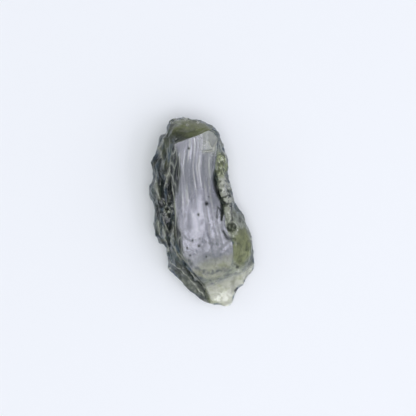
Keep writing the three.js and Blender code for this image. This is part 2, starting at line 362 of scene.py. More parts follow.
def swell(pitch, stretch=(1, 1, 1), shift=0.0):
    """Smooth noise round 0. Each shift gives another pattern of the same pitch."""
    return np.array([noise.noise(p) for p in drawn_out(pitch, stretch, shift)])


def furrow(pitch, stretch=(1, 1, 1), shift=0.0):
    """1 on sharp ridges, falling to 0 in the furrows between them."""
    return 1 - np.abs(swell(pitch, stretch, shift)) * 2


def cracked(pitch, stretch=(1, 1, 1), shift=0.0):
    """0 on the cracks between blocks, rising into each block."""
    two = [noise.voronoi(p)[0][:2] for p in drawn_out(pitch, stretch, shift)]
    return np.array([second - first for first, second in two])


def cup(pitch, stretch=(1, 1, 1), shift=0.0):
    """0 in the middle of a cup, rising to about 1 on the crests between cups."""
    nearest = np.array([noise.voronoi(p)[0][0] for p in drawn_out(pitch, stretch, shift)])
    return np.minimum(nearest / CUP_REACH, 1.0) ** 2


print("the patterns are worked out at", len(verts), "points")

# %% [markdown]
# Marks that have a place of their own, such as one pit or one crack, are drawn from above, in the
# drawing's millimetres. An oval gives lumps and pits. A line through a few points, with a half
# width at each of them, gives ridges and cracks that swell and taper as they run.


# %% Marks drawn from above
def oval(cx, cy, half_width, half_length):
    """Distance from an oval's middle seen from above, 1 on its edge."""
    return np.hypot((x - cx) / half_width, (y - cy) / half_length)


def line(points):
    """Distance from a line of points x, y, half width, in half widths, seen from above."""
    nearest = np.full(len(x), np.inf)
    for (ax, ay, aw), (bx, by, bw) in zip(points, points[1:]):
        run = np.array([bx - ax, by - ay])
        share = np.clip(((x - ax) * run[0] + (y - ay) * run[1]) / (run @ run), 0, 1)
        gap = np.hypot(x - ax - share * run[0], y - ay - share * run[1])
        nearest = np.minimum(nearest, gap / (aw + share * (bw - aw)))
    return nearest


def bump(distance):
    """A soft round crest, 1 in its middle and 0 a little way past 1."""
    return np.exp(-distance ** 2)


def bowl(distance):
    """A round hollow, 1 in its middle and 0 from 1 on."""
    return np.clip(1 - distance ** 2, 0, 1)


def all_bumps(distances):
    """The highest of many crests at each point."""
    return np.max([bump(distance) for distance in distances], axis=0)


print("a crest of half width 1 is", round(bump(1.0), 2), "high at its edge")

# %% [markdown]
# ## Where the skin is etched
# Where the skin was chipped lately, at the blunt end, at the lower right and at the tip, it is
# nearly smooth. Everywhere else it is etched. Each point gets a share of the etching, which also
# fades out at the border of the break. A border that wanders a little looks less drawn.

# %% Chips, etched skin and the left flank
CHIPS = [(-1.4, 9.2, 2.4, 1.2), (4.45, -3.9, 1.25, 2.4), (2.3, -9.0, 2.5, 1.9)]
CHIP_BORDER = (0.8, 1.15)
CHIP_WANDER = 0.3
CHIP_RELIEF = 0.16
BORDER_FADE = (0.0, 0.4)
LEFT_SIDE_Y = [-9.5, -8.0, -5.9, -4.8, -1.2, 1.5, 8.0, 11.0]
LEFT_SIDE_X = [1.0, 0.3, -1.4, -2.2, -3.0, -3.1, -3.6, -2.9]

nearest_chip = np.min([oval(*chip) for chip in CHIPS], axis=0) + CHIP_WANDER * swell(1.3, shift=2.0)
chipped = np.where(upper, 1 - step(nearest_chip, *CHIP_BORDER), 0.0)
etched = step(away, *BORDER_FADE) * (1 - (1 - CHIP_RELIEF) * chipped)
left_side = step(np.interp(y, LEFT_SIDE_Y, LEFT_SIDE_X) - x, *BORDER_FADE) * upper * ~on_break
print(int((chipped > 0.5).sum()), "points on chips,", int((left_side > 0.5).sum()), "on the left flank")

# %% [markdown]
# ## Cups and furrows
# The soil ate large cups into the glass and small cups into those. Along the left flank it followed
# the grain of the once molten glass and left furrows that run the length of the stone. Each pattern
# is stretched a little lengthwise, and the sum is lowered until it lies evenly round the solid.

# %% Cups, furrows and grain of the skin
LARGE_CUPS = {"pitch": 1.15, "stretch": (1, 1.5, 1)}
LARGE_CUP_DEPTH = 0.22
SMALL_CUPS = {"pitch": 0.5, "stretch": (1, 1.4, 1), "shift": 7.0}
SMALL_CUP_DEPTH = 0.11
GRAIN = {"pitch": 0.28, "stretch": (1, 1.6, 1), "shift": 9.0}
GRAIN_DEPTH = 0.03
LOWERED_BY = 0.19
FURROWS = {"pitch": 0.95, "stretch": (1, 4, 1.2), "shift": 3.0}
FURROW_DEPTH = 0.2
UNDERSIDE_RELIEF = 0.85

large_cups = cup(**LARGE_CUPS)
small_cups = cup(**SMALL_CUPS)
grain = furrow(**GRAIN)
furrows = furrow(**FURROWS)
height = LARGE_CUP_DEPTH * large_cups + SMALL_CUP_DEPTH * small_cups + GRAIN_DEPTH * grain - LOWERED_BY
height = height + left_side * FURROW_DEPTH * (furrows - 0.5)
height = height * etched * np.where(upper, 1.0, UNDERSIDE_RELIEF)
print("etched relief from", round(height.min(), 2), "to", round(height.max(), 2), "mm")

# %% [markdown]
# The outline has small bulges on the left, and beside the blunt end a knob with a notch below it.
# They are too small for the solid, so they are pushed out and in along the surface here.

# %% Bulges, knob and notch of the outline
BULGES = [
    (-5.7, 2.4, 0.45, 1.0), (-4.9, 8.3, 0.5, 0.7), (-5.3, -1.4, 0.4, 0.8), (-3.7, -6.3, 0.5, 0.7),
    (-3.8, 10.5, 0.5, 0.45), (4.4, -8.3, 0.6, 0.9),
]
BULGE_HEIGHT = 0.22
NOTCH = (-4.5, 9.35, 0.45, 0.4)
NOTCH_DEPTH = 0.35

bulging = all_bumps(oval(*bulge) for bulge in BULGES)
clear_of_break = step(away, 0.2, 1.0)
height = height + BULGE_HEIGHT * bulging * clear_of_break
height = height - NOTCH_DEPTH * bump(oval(*NOTCH)) * clear_of_break
print("skin relief from", round(height.min(), 2), "to", round(height.max(), 2), "mm")

# %% [markdown]
# ## The strip of lumps
# The larger marks are copied one by one. They are lifted and sunk straight up and down, which keeps
# them where they are seen from above. Two shares go with them: pale for crests, partly worn and
# partly painted highlight, and dark for hollows, partly soil and partly painted shade.
#
# A chain of pale lumps runs down the right side of the break. Each is a low dome whose outline is
# ruffled by noise. Its pale top is partly wear and partly painted highlight, and its right side,
# away from the break, gets a painted shade.

# %% Lumps of the strip
STRIP_LUMPS = [
    (2.2, 3.9, 0.55, 0.4, 0.16), (2.45, 3.0, 0.75, 0.7, 0.26), (2.42, 2.15, 0.75, 0.4, 0.2),
    (2.82, 1.42, 0.68, 0.38, 0.2), (2.9, 0.0, 0.62, 1.12, 0.28), (2.3, -1.1, 0.45, 0.45, 0.15),
]
LUMP_RUFFLE = 0.3
LUMP_WEAR_AND_HIGHLIGHT = (0.3, 0.75)
LUMP_SHADED = 0.6

ruffle = LUMP_RUFFLE * swell(0.7, shift=6.0) + LUMP_RUFFLE * swell(0.28, shift=11.0)
skin_marks = np.zeros(len(verts))
pale = np.zeros(len(verts))
for cx, cy, half_width, half_length, tall in STRIP_LUMPS:
    dome = np.sqrt(bowl(oval(cx, cy, half_width, half_length) + ruffle))
    skin_marks = np.maximum(skin_marks, tall * dome)
    # A pale top, partly wear and partly painted highlight, with a painted shade on the right side.
    pale = np.maximum(pale, step(dome, *LUMP_WEAR_AND_HIGHLIGHT) * (1 - LUMP_SHADED * step(x - cx, 0.1, half_width)))
print(len(STRIP_LUMPS), "lumps, up to", round(skin_marks.max(), 2), "mm tall")

# %% [markdown]
# Above the lumps the skin is cracked into small blocks. Only their tops are pale, partly worn and
# partly painted highlight, and not all of them. Between the lumps and the blocks lie soil and
# painted shade.

# %% Blocks above the lumps, and soil and painted shade between them
SPECKLED = [(1.95, 6.4, 0.4), (2.1, 5.2, 0.62), (2.1, 4.4, 0.5)]
STRIP_LINE = [(2.0, 6.4, 0.4), (2.1, 4.4, 0.6), (2.35, 2.6, 0.72), (2.6, 1.2, 0.62), (2.95, -0.9, 0.5)]
BLOCK_PITCH = 0.5
BLOCK_EDGE = (0.02, 0.25)
BLOCK_GAP_DEPTH = 0.08
BLOCK_WEAR_AND_HIGHLIGHT = (-0.15, 0.15)
STRIP_SHADE_AND_SOIL = 0.75
PALE_MEAN = 0.95
PALE_SWING = 0.9


def along(points):
    """1 along a line of points, fading to 0 a little past its half width."""
    return step(1.3 - line(points), 0.0, 0.6)


blocks = step(cracked(BLOCK_PITCH, shift=17.0), *BLOCK_EDGE)
speckled = along(SPECKLED)
skin_marks -= BLOCK_GAP_DEPTH * speckled * (1 - blocks)
# Pale tops of some blocks, partly wear and partly painted highlight.
pale = np.maximum(pale, speckled * blocks * step(swell(0.45, shift=4.0), *BLOCK_WEAR_AND_HIGHLIGHT))
# Soil and painted shade along the strip, except where it is pale.
dark = STRIP_SHADE_AND_SOIL * along(STRIP_LINE) * (1 - step(pale, 0.0, 0.4))
pale = pale * np.clip(PALE_MEAN + PALE_SWING * swell(0.3, (1.2, 0.8, 1), 4.0), 0, 1)
print("blocks cover", int((speckled > 0.5).sum()), "points")

# %% [markdown]
# ## Ridges and valleys of the flank
# Sharp ridges run down the left flank and on towards the tip, pale with wear and painted highlight,
# with valleys between some of them, dark with soil and painted shade. The furrows of the skin
# already run the same way. These are the ones that stand out.

# %% Ridges of the left flank
LEFT_RIDGES = [
    [(-4.38, 8.6, 0.08), (-4.34, 8.05, 0.10), (-4.89, 7.3, 0.12), (-4.5, 6.0, 0.12), (-4.46, 5.0, 0.08)],
    [(-3.03, 7.6, 0.08), (-3.34, 6.2, 0.14), (-3.68, 4.8, 0.14), (-4.11, 3.5, 0.12), (-4.34, 2.8, 0.08)],
    [(-2.64, 6.1, 0.07), (-3.1, 4.75, 0.11), (-3.33, 3.4, 0.11), (-3.3, 1.9, 0.08)],
    [(-5.3, 4.4, 0.10), (-5.2, 3.0, 0.16), (-4.9, 1.6, 0.12)],
    [(-3.45, -0.9, 0.10), (-3.5, -2.6, 0.14), (-3.3, -4.2, 0.13), (-2.7, -5.3, 0.08)],
    [(-4.5, -1.6, 0.12), (-4.3, -3.0, 0.16), (-3.9, -4.4, 0.10)],
    [(-5.0, -0.9, 0.12), (-4.9, -2.4, 0.14)],
    [(-4.57, -0.46, 0.05), (-3.88, -2.3, 0.08), (-3.3, -3.7, 0.07), (-2.03, -5.44, 0.05)],
    [(-3.96, -5.44, 0.06), (-2.6, -6.4, 0.09), (-1.1, -8.1, 0.09), (0.06, -9.7, 0.06)],
    [(-1.9, -6.1, 0.05), (-0.9, -7.4, 0.08), (0.2, -8.6, 0.05)],
]
RIDGE_HEIGHT = 0.22
RIDGE_WEAR_AND_HIGHLIGHT = 0.7

for ridge in LEFT_RIDGES:
    crest = bump(line(ridge))
    skin_marks = np.maximum(skin_marks, RIDGE_HEIGHT * crest)
    # Each crest is pale, partly wear and partly painted highlight.
    pale = np.maximum(pale, RIDGE_WEAR_AND_HIGHLIGHT * crest)
print(len(LEFT_RIDGES), "ridges,", RIDGE_HEIGHT, "mm tall")

# %% [markdown]
# The valleys are drawn in the same way as the ridges and cut downwards. Each takes its depth from
# what is there, so a ridge that it crosses gets a gap.

# %% Valleys of the left flank
VALLEYS = [
    [(-4.65, 5.9, 0.16), (-5.0, 4.9, 0.2), (-4.45, 3.4, 0.16), (-4.65, 1.9, 0.12)],
    [(-3.6, 3.9, 0.1), (-3.75, 2.9, 0.14), (-3.7, 2.0, 0.1)],
    [(-3.9, -1.3, 0.12), (-3.95, -2.8, 0.16), (-3.6, -4.6, 0.1)],
    [(-2.2, -5.6, 0.1), (-1.6, -7.0, 0.14), (-0.4, -8.3, 0.12), (0.2, -9.2, 0.08)],
]
VALLEY_DEPTH = 0.25
VALLEY_SHADE_AND_SOIL = 0.8

for valley in VALLEYS:
    cut = bump(line(valley))
    skin_marks -= VALLEY_DEPTH * cut
    # Soil and painted shade darken each valley.
    dark = np.maximum(dark, VALLEY_SHADE_AND_SOIL * cut)
print(len(VALLEYS), "valleys,", VALLEY_DEPTH, "mm deep")

# %% [markdown]
# ## Pits
# A group of small pits lies on the left flank, and one more at the lower right. Each takes the
# older relief away, sinks a bowl, and leaves a lip round it. The same noise bends the outline of
# all of them and takes away a part of each lip, so none is a perfect ring. Each bowl is darkened
# with soil and painted shade, and each lip is pale, partly worn and partly painted highlight.

# %% Small pits
PITS = [
    (3.96, -6.2, 0.24, 0.2), (-4.25, 1.2, 0.26, 0.35), (-3.7, 1.1, 0.24, 0.35), (-4.1, 0.45, 0.3, 0.45),
    (-3.45, 0.5, 0.24, 0.35), (-3.85, -0.2, 0.26, 0.4), (-4.6, 0.0, 0.26, 0.35), (-3.35, -0.3, 0.2, 0.3),
]
PIT_BEND = 0.3
PIT_CLEARS = (0.8, 1.3)
PIT_CLEANS = (0.8, 1.1)
LIP_HEIGHT = 0.12
LIP_AT = 1.15
LIP_WIDTH = 0.2
LIP_GAPS = (-0.1, 0.25)
LIP_WEAR_AND_HIGHLIGHT = 0.9

broken = swell(0.5, shift=13.0)
for cx, cy, radius, deep in PITS:
    share = oval(cx, cy, radius, radius) + PIT_BEND * broken
    lip = bump((share - LIP_AT) / LIP_WIDTH) * step(broken, *LIP_GAPS)
    skin_marks = skin_marks * step(share, *PIT_CLEARS) + LIP_HEIGHT * lip - deep * bowl(share)
    # Soil and painted shade in the bowl, and a pale lip, partly wear and partly painted highlight.
    dark = np.maximum(dark, bowl(share)) * (1 - lip)
    pale = np.maximum(pale * step(share, *PIT_CLEANS), LIP_WEAR_AND_HIGHLIGHT * lip)
print(len(PITS), "small pits")

# %% [markdown]
# One larger round pit lies below the strip of lumps. Its lip is faint at the upper right, and a
# thick pale crescent lies along its lower edge. Its bowl is darkened with soil and painted shade,
# and the lip and crescent are pale, partly worn and partly painted highlight.

# %% Round pit
ROUND_PIT = (3.22, -1.75, 0.6, 0.6)
ROUND_PIT_DEPTH = 0.6
ROUND_PIT_SHADE_AND_SOIL = 0.9
ROUND_PIT_DARK_EDGE = (0.75, 1.1)
ROUND_LIP_AT = 1.2
ROUND_LIP_WIDTH = 0.17
FAINT_LIP = 0.35
PIT_CRESCENT = [(2.6, -2.0, 0.08), (3.13, -2.45, 0.16), (3.95, -2.0, 0.08)]

share = oval(*ROUND_PIT)
faint_lip = FAINT_LIP * bump((share - ROUND_LIP_AT) / ROUND_LIP_WIDTH) * step(y + x, 0.2, 1.2)
lip = np.maximum(faint_lip, bump(line(PIT_CRESCENT)))
skin_marks = skin_marks * step(share, *PIT_CLEARS) + LIP_HEIGHT * lip - ROUND_PIT_DEPTH * bowl(share)
# Soil and painted shade in the bowl, and a pale lip and crescent, partly wear and partly painted highlight.
pit_shade_and_soil = ROUND_PIT_SHADE_AND_SOIL * (1 - step(share + PIT_BEND * broken, *ROUND_PIT_DARK_EDGE))
dark = np.maximum(dark, pit_shade_and_soil) * (1 - lip)
pale = np.maximum(pale * step(share, *PIT_CLEANS), lip)
print("the round pit is", ROUND_PIT_DEPTH, "mm deep")

# %% [markdown]
# ## Glints, scoops and cuts
# The rest of the old skin has small painted glints, pale spots mostly along the edges, broad
# shallow scoops where the chips hollow it out, flats on the tip, and a few short cuts, darkened
# with soil and painted shade.

# %% Painted glints
GLINT_SPOTS = [
    (-3.2, 10.65, 0.2), (-1.95, 10.65, 0.18), (-1.74, 9.95, 0.1), (-3.5, 10.2, 0.12), (-0.6, 10.2, 0.1),
    (-4.2, 9.0, 0.12), (2.45, 6.7, 0.12), (2.75, 6.3, 0.1), (5.6, -3.05, 0.14), (5.95, -6.0, 0.12),
    (5.2, -6.9, 0.3), (3.25, -10.4, 0.16), (-3.75, -6.4, 0.1), (3.0, -1.6, 0.1), (3.4, -1.9, 0.09),
    (3.5, -1.45, 0.07), (2.05, 2.9, 0.1), (-3.55, 0.15, 0.09), (-4.1, -0.35, 0.08),
]
SPOT_SPREAD = 1.4

for cx, cy, radius in GLINT_SPOTS:
    spot = bump(oval(cx, cy, SPOT_SPREAD * radius, SPOT_SPREAD * radius))
    # Each spot is a painted glint.
    pale = np.maximum(pale, spot)
    dark = dark * (1 - spot)
print(len(GLINT_SPOTS), "worn spots")

# %% [markdown]
# A scoop is a bowl whose depth is squared, so it runs out without an edge. The flats of the tip are
# shallow cups. All marks so far fade out in the last tenth of a millimetre before the break.

# %% Scoops, flats of the tip and short cuts
SCOOPS = [(2.5, -8.5, 2.5, 2.0, 0.75), (4.5, -3.9, 1.3, 2.3, 0.3), (-1.5, 9.7, 2.4, 1.1, 0.2)]
TIP_FLATS = {"pitch": 1.3, "stretch": (1, 0.8, 1), "shift": 23.0}
TIP_FLAT_DEPTH = 0.14
TIP_FROM = (6.8, 8.0)
CUTS = [
    [(1.95, 1.72, 0.05), (2.5, 1.86, 0.08), (3.1, 2.12, 0.05)],
    [(2.3, 1.02, 0.05), (2.9, 1.05, 0.07)],
    [(2.54, -2.3, 0.10), (2.95, -2.9, 0.15), (3.65, -2.95, 0.08)],
    [(0.35, -8.8, 0.03), (0.1, -9.4, 0.05)],
    [(3.1, 0.95, 0.06), (3.25, 0.1, 0.13), (3.3, -0.9, 0.08)],
]
CUT_DEPTH = 0.22
MARKS_FADE = (0.0, 0.12)

for cx, cy, half_width, half_length, deep in SCOOPS:
    skin_marks -= deep * bowl(oval(cx, cy, half_width, half_length)) ** 2
skin_marks += TIP_FLAT_DEPTH * step(-y, *TIP_FROM) * (cup(**TIP_FLATS) - 0.5)
for points in CUTS:
    cut = bump(line(points))
    skin_marks -= CUT_DEPTH * cut
    # Soil and painted shade in each cut.
    dark = np.maximum(dark, cut)
skin_marks = skin_marks * step(away, *MARKS_FADE)
print(len(SCOOPS), "scoops and", len(CUTS), "cuts")

# %% [markdown]
# ## The groove beside the strip
# A deep groove parts the lumps from the break, darkened with soil and painted shade. It comes last,
# so that nothing fills it. The marks so far are for the upper side alone, so they are switched off
# below. The floors of the large cups get a little soil and painted shade as well.

# %% Groove, and soil and painted shade in the cups
GROOVE = [
    (1.42, 4.7, 0.09), (1.34, 3.8, 0.2), (1.5, 2.9, 0.2), (1.76, 2.0, 0.17), (2.12, 1.35, 0.14),
    (2.22, 0.4, 0.15), (2.1, -0.8, 0.06),
]
GROOVE_DEPTH = 0.7
GROOVE_CLEARS = (0.8, 1.6)
CUP_SHADE_AND_SOIL = 0.6
CUP_FLOOR = (0.02, 0.25)

in_groove = line(GROOVE)
groove_dark = bump(in_groove)
skin_marks = (skin_marks * step(in_groove, *GROOVE_CLEARS) - GROOVE_DEPTH * groove_dark) * upper
# Soil and painted shade in the groove and in the floors of the large cups.
dark = np.maximum(dark, groove_dark) * upper
dark = np.maximum(dark, CUP_SHADE_AND_SOIL * etched * (1 - step(large_cups, *CUP_FLOOR)))
pale = pale * (1 - dark)
print("marks of the skin from", round(skin_marks.min(), 2), "to", round(skin_marks.max(), 2), "mm")

# %% [markdown]
# ## Streaks of the break
# A break in glass isn't flat. It ran from the blunt end, so long fine steps fan out from there. The
# fan is a new coordinate across the break: 0 on its middle line, and always as wide as the break
# is. Noise drawn in that coordinate and very long along the stone gives streaks that follow it.

# %% Streaks that fan out
FLOW_Y = [-7.3, -6.0, -4.3, -2.0, 1.0, 5.0, 7.5]
FLOW_MIDDLE = [0.9, 0.8, 0.45, -0.1, -0.5, -1.0, -0.8]
FLOW_HALF_WIDTH = [1.2, 2.2, 2.8, 2.8, 2.55, 2.3, 2.1]
FLOW_UNIT = 2.4
STREAKS = [(0.24, 4.0, 0.004, 0), (0.55, 5.0, 0.01, 4), (1.6, 7.0, 0.035, 8)]

flow = FLOW_UNIT * (x - np.interp(y, FLOW_Y, FLOW_MIDDLE)) / np.interp(y, FLOW_Y, FLOW_HALF_WIDTH)


def streak(pitch, run, shift):
    """Smooth noise of a pitch across the flow and a long run along the stone."""
    return np.array([noise.noise(Vector((a / pitch, b / run, shift))) for a, b in zip(flow, y)])


break_marks = np.zeros(len(verts))
for pitch, run, tall, shift in STREAKS:
    break_marks += tall * streak(pitch, run, shift)
print("streaks from", round(break_marks.min(), 3), "to", round(break_marks.max(), 3), "mm")

# %% [markdown]
# Along the left border of the break its surface passes into dark ribs like those of the flank.
# They fade out at the very border, where skin and break have to keep touching.

# %% Ribs along the left border
MARGIN_Y = [-5.9, -4.8, -1.2, 1.5, 3.0, 4.5, 6.0, 7.6]
MARGIN_X = [-1.1, -1.95, -2.8, -2.95, -2.85, -2.55, -2.6, -3.1]
MARGIN_WANDER = 0.4
MARGIN_EDGE = (-0.25, 0.2)
MARGIN_LOW_END = (-6.5, -5.0)
MARGIN_RIBS = {"pitch": 0.45, "stretch": (1, 3.5, 1), "shift": 15.0}
MARGIN_RELIEF = 0.16
MARGIN_RELIEF_FADE = (0.0, 0.3)
RIB_LEVEL = 0.75

away_from_skin = gap_to(place[~on_break], place)
margin = x - np.interp(y, MARGIN_Y, MARGIN_X) + MARGIN_WANDER * swell(0.9, (1, 2, 1), 2.0)
at_margin = step(-margin, *MARGIN_EDGE) * step(y, *MARGIN_LOW_END)
margin_ribs = furrow(**MARGIN_RIBS)
relief_share = at_margin * step(away_from_skin, *MARGIN_RELIEF_FADE)
break_marks += MARGIN_RELIEF * relief_share * (margin_ribs - RIB_LEVEL)
print("ribs cover", int((at_margin * on_break > 0.5).sum()), "points of the break")

# %% [markdown]
# ## Small marks of the break
# Slow ripples lie in rings round one place of the break, as on broken glass, and show in its
# lower half. The old bubbles that the break cut through are left as small bowls.

# %% Ripples and bubbles
RIPPLE_MIDDLE = (-0.6, 1.5)
RIPPLE_PITCH = 0.85
RIPPLE_HEIGHT = 0.006
RIPPLE_WANDER = 0.5
RIPPLE_FROM = (1.5, 4.5)
BUBBLES = [
    (-1.56, 7.18, 0.11), (-0.52, -0.2, 0.11), (0.41, 1.04, 0.2), (-0.46, -3.71, 0.1), (-1.74, -3.94, 0.1),
    (-1.45, -4.8, 0.1), (0.64, 1.79, 0.09), (-1.16, -3.09, 0.09), (0.38, -4.98, 0.1), (-0.4, -2.9, 0.07),
]
BUBBLE_DEPTH = 0.7

from_middle = np.hypot(x - RIPPLE_MIDDLE[0], y - RIPPLE_MIDDLE[1]) + RIPPLE_WANDER * swell(1.6)
ripple = RIPPLE_HEIGHT * np.sin(from_middle * math.tau / RIPPLE_PITCH)
break_marks += ripple * step(-y, *RIPPLE_FROM)
for cx, cy, radius in BUBBLES:
    break_marks -= BUBBLE_DEPTH * radius * np.sqrt(bowl(oval(cx, cy, radius, radius)))
print(len(BUBBLES), "cut bubbles")

# %% [markdown]
# A few short cracks and two crossing ridges on the bent corner mark where the stone was hurt later.
# Both are lines with a soft cross section: a crack goes down, a ridge comes up.

# %% Cracks and ridges of the corner
CRACKS = [
    [(1.62, 0.66, 0.05), (2.06, 0.22, 0.10), (2.4, -0.12, 0.10)],
    [(1.6, 0.44, 0.035), (1.57, -0.66, 0.05)],
    [(2.12, -0.4, 0.04), (2.06, -0.8, 0.05)],
    [(2.3, -2.1, 0.08), (2.75, -2.85, 0.17), (3.5, -3.0, 0.14)],
]
CRACK_DEPTH = 0.08
CORNER_RIDGES = [
    [(0.62, 8.1, 0.05), (0.9, 7.3, 0.10), (1.18, 7.35, 0.10), (1.85, 8.6, 0.07)],
    [(0.0, 6.85, 0.05), (0.9, 6.95, 0.09), (1.5, 7.3, 0.09), (1.95, 8.0, 0.05)],
]
CORNER_RIDGE_HEIGHT = 0.13

for crack in CRACKS:
    break_marks -= CRACK_DEPTH * bump(line(crack))
for ridge in CORNER_RIDGES:
    break_marks += CORNER_RIDGE_HEIGHT * bump(line(ridge))
print(len(CRACKS), "cracks and", len(CORNER_RIDGES), "ridges of the corner")

# %% [markdown]
# ## The wedge and the bend of the break
# At the upper left a small wedge of the break falls away steeply. The right side turns up a little
# near its top and flattens lower down. These are slow shapes: they tilt the surface by a degree or
# two, which is enough to move the mirrored lamp, and they fade out at the border.

# %% Wedge and bend
WEDGE_AT = (-3.18, 7.6)
WEDGE_RISE = 0.48
WEDGE_FALL = 0.45
WEDGE_WANDER = 0.15
WEDGE_EDGE = (-0.05, 0.12)
WEDGE_FALL_FROM = (6.5, 7.5)
UPTURN = {"x": -0.3, "y": 5.0, "half_length": 1.7, "rise": 0.075}
FLATTER = {"x": -1.2, "start": -1.5, "full": 1.0, "fall": 0.01}
BEND_FADE = (0.0, 0.7)

past_wedge = y - WEDGE_AT[1] - WEDGE_RISE * (x - WEDGE_AT[0]) + WEDGE_WANDER * swell(0.5)
wedge = step(past_wedge, *WEDGE_EDGE)
break_marks = break_marks * (1 - wedge)
bend = UPTURN["rise"] * np.maximum(x - UPTURN["x"], 0) ** 2 * bump((y - UPTURN["y"]) / UPTURN["half_length"])
bend -= FLATTER["fall"] * (x - FLATTER["x"]) ** 2 * step(-y, FLATTER["start"], FLATTER["full"])
bend -= WEDGE_FALL * np.clip(past_wedge, 0, 1) * step(y, *WEDGE_FALL_FROM)
bend = bend * (1 - step(away, *BEND_FADE))
print("break marks from", round(break_marks.min(), 2), "to", round(break_marks.max(), 2), "mm")

# %% [markdown]
# ## Moving the points
# The tip is only a few tenths of a millimetre thick at its edge. A hollow cut there at full depth
# would come out below, so no point is sunk by more than a share of the glass that is behind it. A
# ray sent from each point into the stone measures that glass.

# %% How much glass is behind each point
DEEPEST_SHARE = 0.4
RAY_START = 0.02

whole = bvhtree.BVHTree.FromBMesh(bm)


def glass_along(ways):
    """Millimetres of glass from each point along its way into the stone."""
    rays = [whole.ray_cast(Vector(p + RAY_START * way) * MM, Vector(way)) for p, way in zip(place, ways)]
    return np.array([0.0 if ray[3] is None else ray[3] / MM for ray in rays])


inward = glass_along(-facing)
below = np.where(upper, glass_along(np.tile((0.0, 0.0, -1.0), (len(verts), 1))), np.inf)
print("held back", int((skin_marks < -DEEPEST_SHARE * below).sum()), "points where the glass is thin")

# %% [markdown]
# The skin's relief moves each point the way its surface faces. The marks drawn from above, the bend
# and the marks of the break move it up or down. Nothing goes below the ground.

# %% Move the points
height = np.maximum(height, -DEEPEST_SHARE * inward)
skin_marks = np.maximum(skin_marks, -DEEPEST_SHARE * below)
move = facing * np.where(on_break, 0.0, height)[:, None]
move[:, 2] += skin_marks + bend + np.where(on_break, break_marks, 0.0)
moved = place + move
moved[:, 2] = np.maximum(moved[:, 2], 0.0)
for v, p in zip(verts, moved):
    v.co = Vector(p) * MM
bm.normal_update()
print("the farthest move is", round(np.linalg.norm(move, axis=1).max(), 2), "mm")

# %% [markdown]
# ## Colours of the skin
# The glass itself is olive all through, and its light comes from how deep it is. Its skin changes
# that: hollows are darkened, partly by soil and partly with painted shade, crests are pale, partly
# worn and partly painted highlight, and fresh chips show the clear olive. So each point gets a
# colour, made by laying one colour after another over a clear one, each with a share from 0 to 1.
# First come the shares that more than one of the colours needs.

# %% Mottle, crests, edge and tip
THIN_EDGE_TILT = 0.25
RIM_FADE = (0.08, 0.3)
RIM_MEAN = 0.75
RIM_WEAK_AT = (4.8, -0.6, 1.0, 2.4)
RIM_WEAKER = 0.7
TIP_BORDER = (-0.56, -7.03, 0.41)
TIP_TILT = 0.4
TIP_FADE = (7.5, 8.5)

mottle = swell(0.5, (1.5, 1, 1), 31.0) + 0.6 * swell(0.2, shift=37.0)
crests = step(furrows, 0.72, 0.97) * step(mottle, -0.35, 0.1) * step(small_cups, 0.1, 0.6)
seen_from_above = place * (1, 1, 0)
# The rim is where a painted dark bluish edge reflection will lie along the steep edges.
from_edge = gap_to(seen_from_above[np.abs(facing[:, 2]) < THIN_EDGE_TILT], seen_from_above)
rim = (1 - step(from_edge, *RIM_FADE)) * (RIM_MEAN + swell(0.5, shift=19.0))
rim = rim * (1 - RIM_WEAKER * bump(oval(*RIM_WEAK_AT)))
right_of_border = x - TIP_BORDER[0] + TIP_BORDER[2] * (y - TIP_BORDER[1])
tip = step(TIP_TILT * (x - 1.0) - y, *TIP_FADE) * step(right_of_border, *BORDER_FADE)
print("the tip covers", int((tip > 0.5).sum()), "points and the rim", int((rim > 0.5).sum()))

# %% [markdown]
# The left flank and the underside are darkened with soil and painted shade, and their crests less.
# A painted shade lies on the left part of the upper chip.

# %% Dark parts of the skin
FLANK_CREST_LIGHT = 0.55
FLANK_TIP_LIGHT = 0.5
FLANK_LOW_LIGHT = 0.2
UNDERSIDE_DARK = 0.65
UNDERSIDE_CREST_LIGHT = 0.6
UNDERSIDE_FADE = (0.3, 2.2)
CHIP_SHADE = 0.85
CHIP_SHADE_AT = (-2.8, 8.3, 2.2, 1.1)

# Soil and painted shade on the left flank and the underside, less on their crests.
flank_shade_and_soil = left_side * (1 - FLANK_TIP_LIGHT * tip) * (1 - FLANK_LOW_LIGHT * step(-y, 4.0, 6.5))
flank_shade_and_soil = flank_shade_and_soil * (1 - FLANK_CREST_LIGHT * crests)
underside_shade_and_soil = ~upper * UNDERSIDE_DARK * step(z, *UNDERSIDE_FADE) * (1 - tip)
underside_shade_and_soil = underside_shade_and_soil * (1 - UNDERSIDE_CREST_LIGHT * crests)
# A painted shade on the left part of the upper chip.
chip_shade = CHIP_SHADE * bump(oval(*CHIP_SHADE_AT))
steep_flank = left_side * (1 - step(facing[:, 2], 0.3, 0.7))
print(int((flank_shade_and_soil > 0.5).sum()), "points of the flank are dark")

# %% [markdown]
# Now the colours themselves, in the order in which they are laid. Each line of the list holds a
# colour, its strength and where it lies. Teal on the steep flank, slate on the right slope and the
# dark blue rim are painted reflections. The dark and pale shares that the relief gave come last but
# one, so the soil and painted shade, and the wear and painted highlights, lie over all the rest.

# %% Colours laid on the skin
CLEAR = (0.85, 0.9, 0.75)
OLIVE = (0.52, 0.56, 0.29)
INK = (0.02, 0.028, 0.04)
STRAW = (1.0, 1.0, 0.86)
TEAL = (0.30, 0.39, 0.42)
SLATE = (0.24, 0.27, 0.34)
RIM_BLUE = (0.12, 0.19, 0.30)
PALE = (0.98, 1.0, 0.86)
SPRING = (0.75, 0.86, 0.34)


def laid_over(under, layers):
    """Lays each colour, with its strength, over what is under it."""
    for colour, strength, where in layers:
        under = under + (np.array(colour) - under) * np.clip(strength * where, 0, 1)[:, None]
    return under


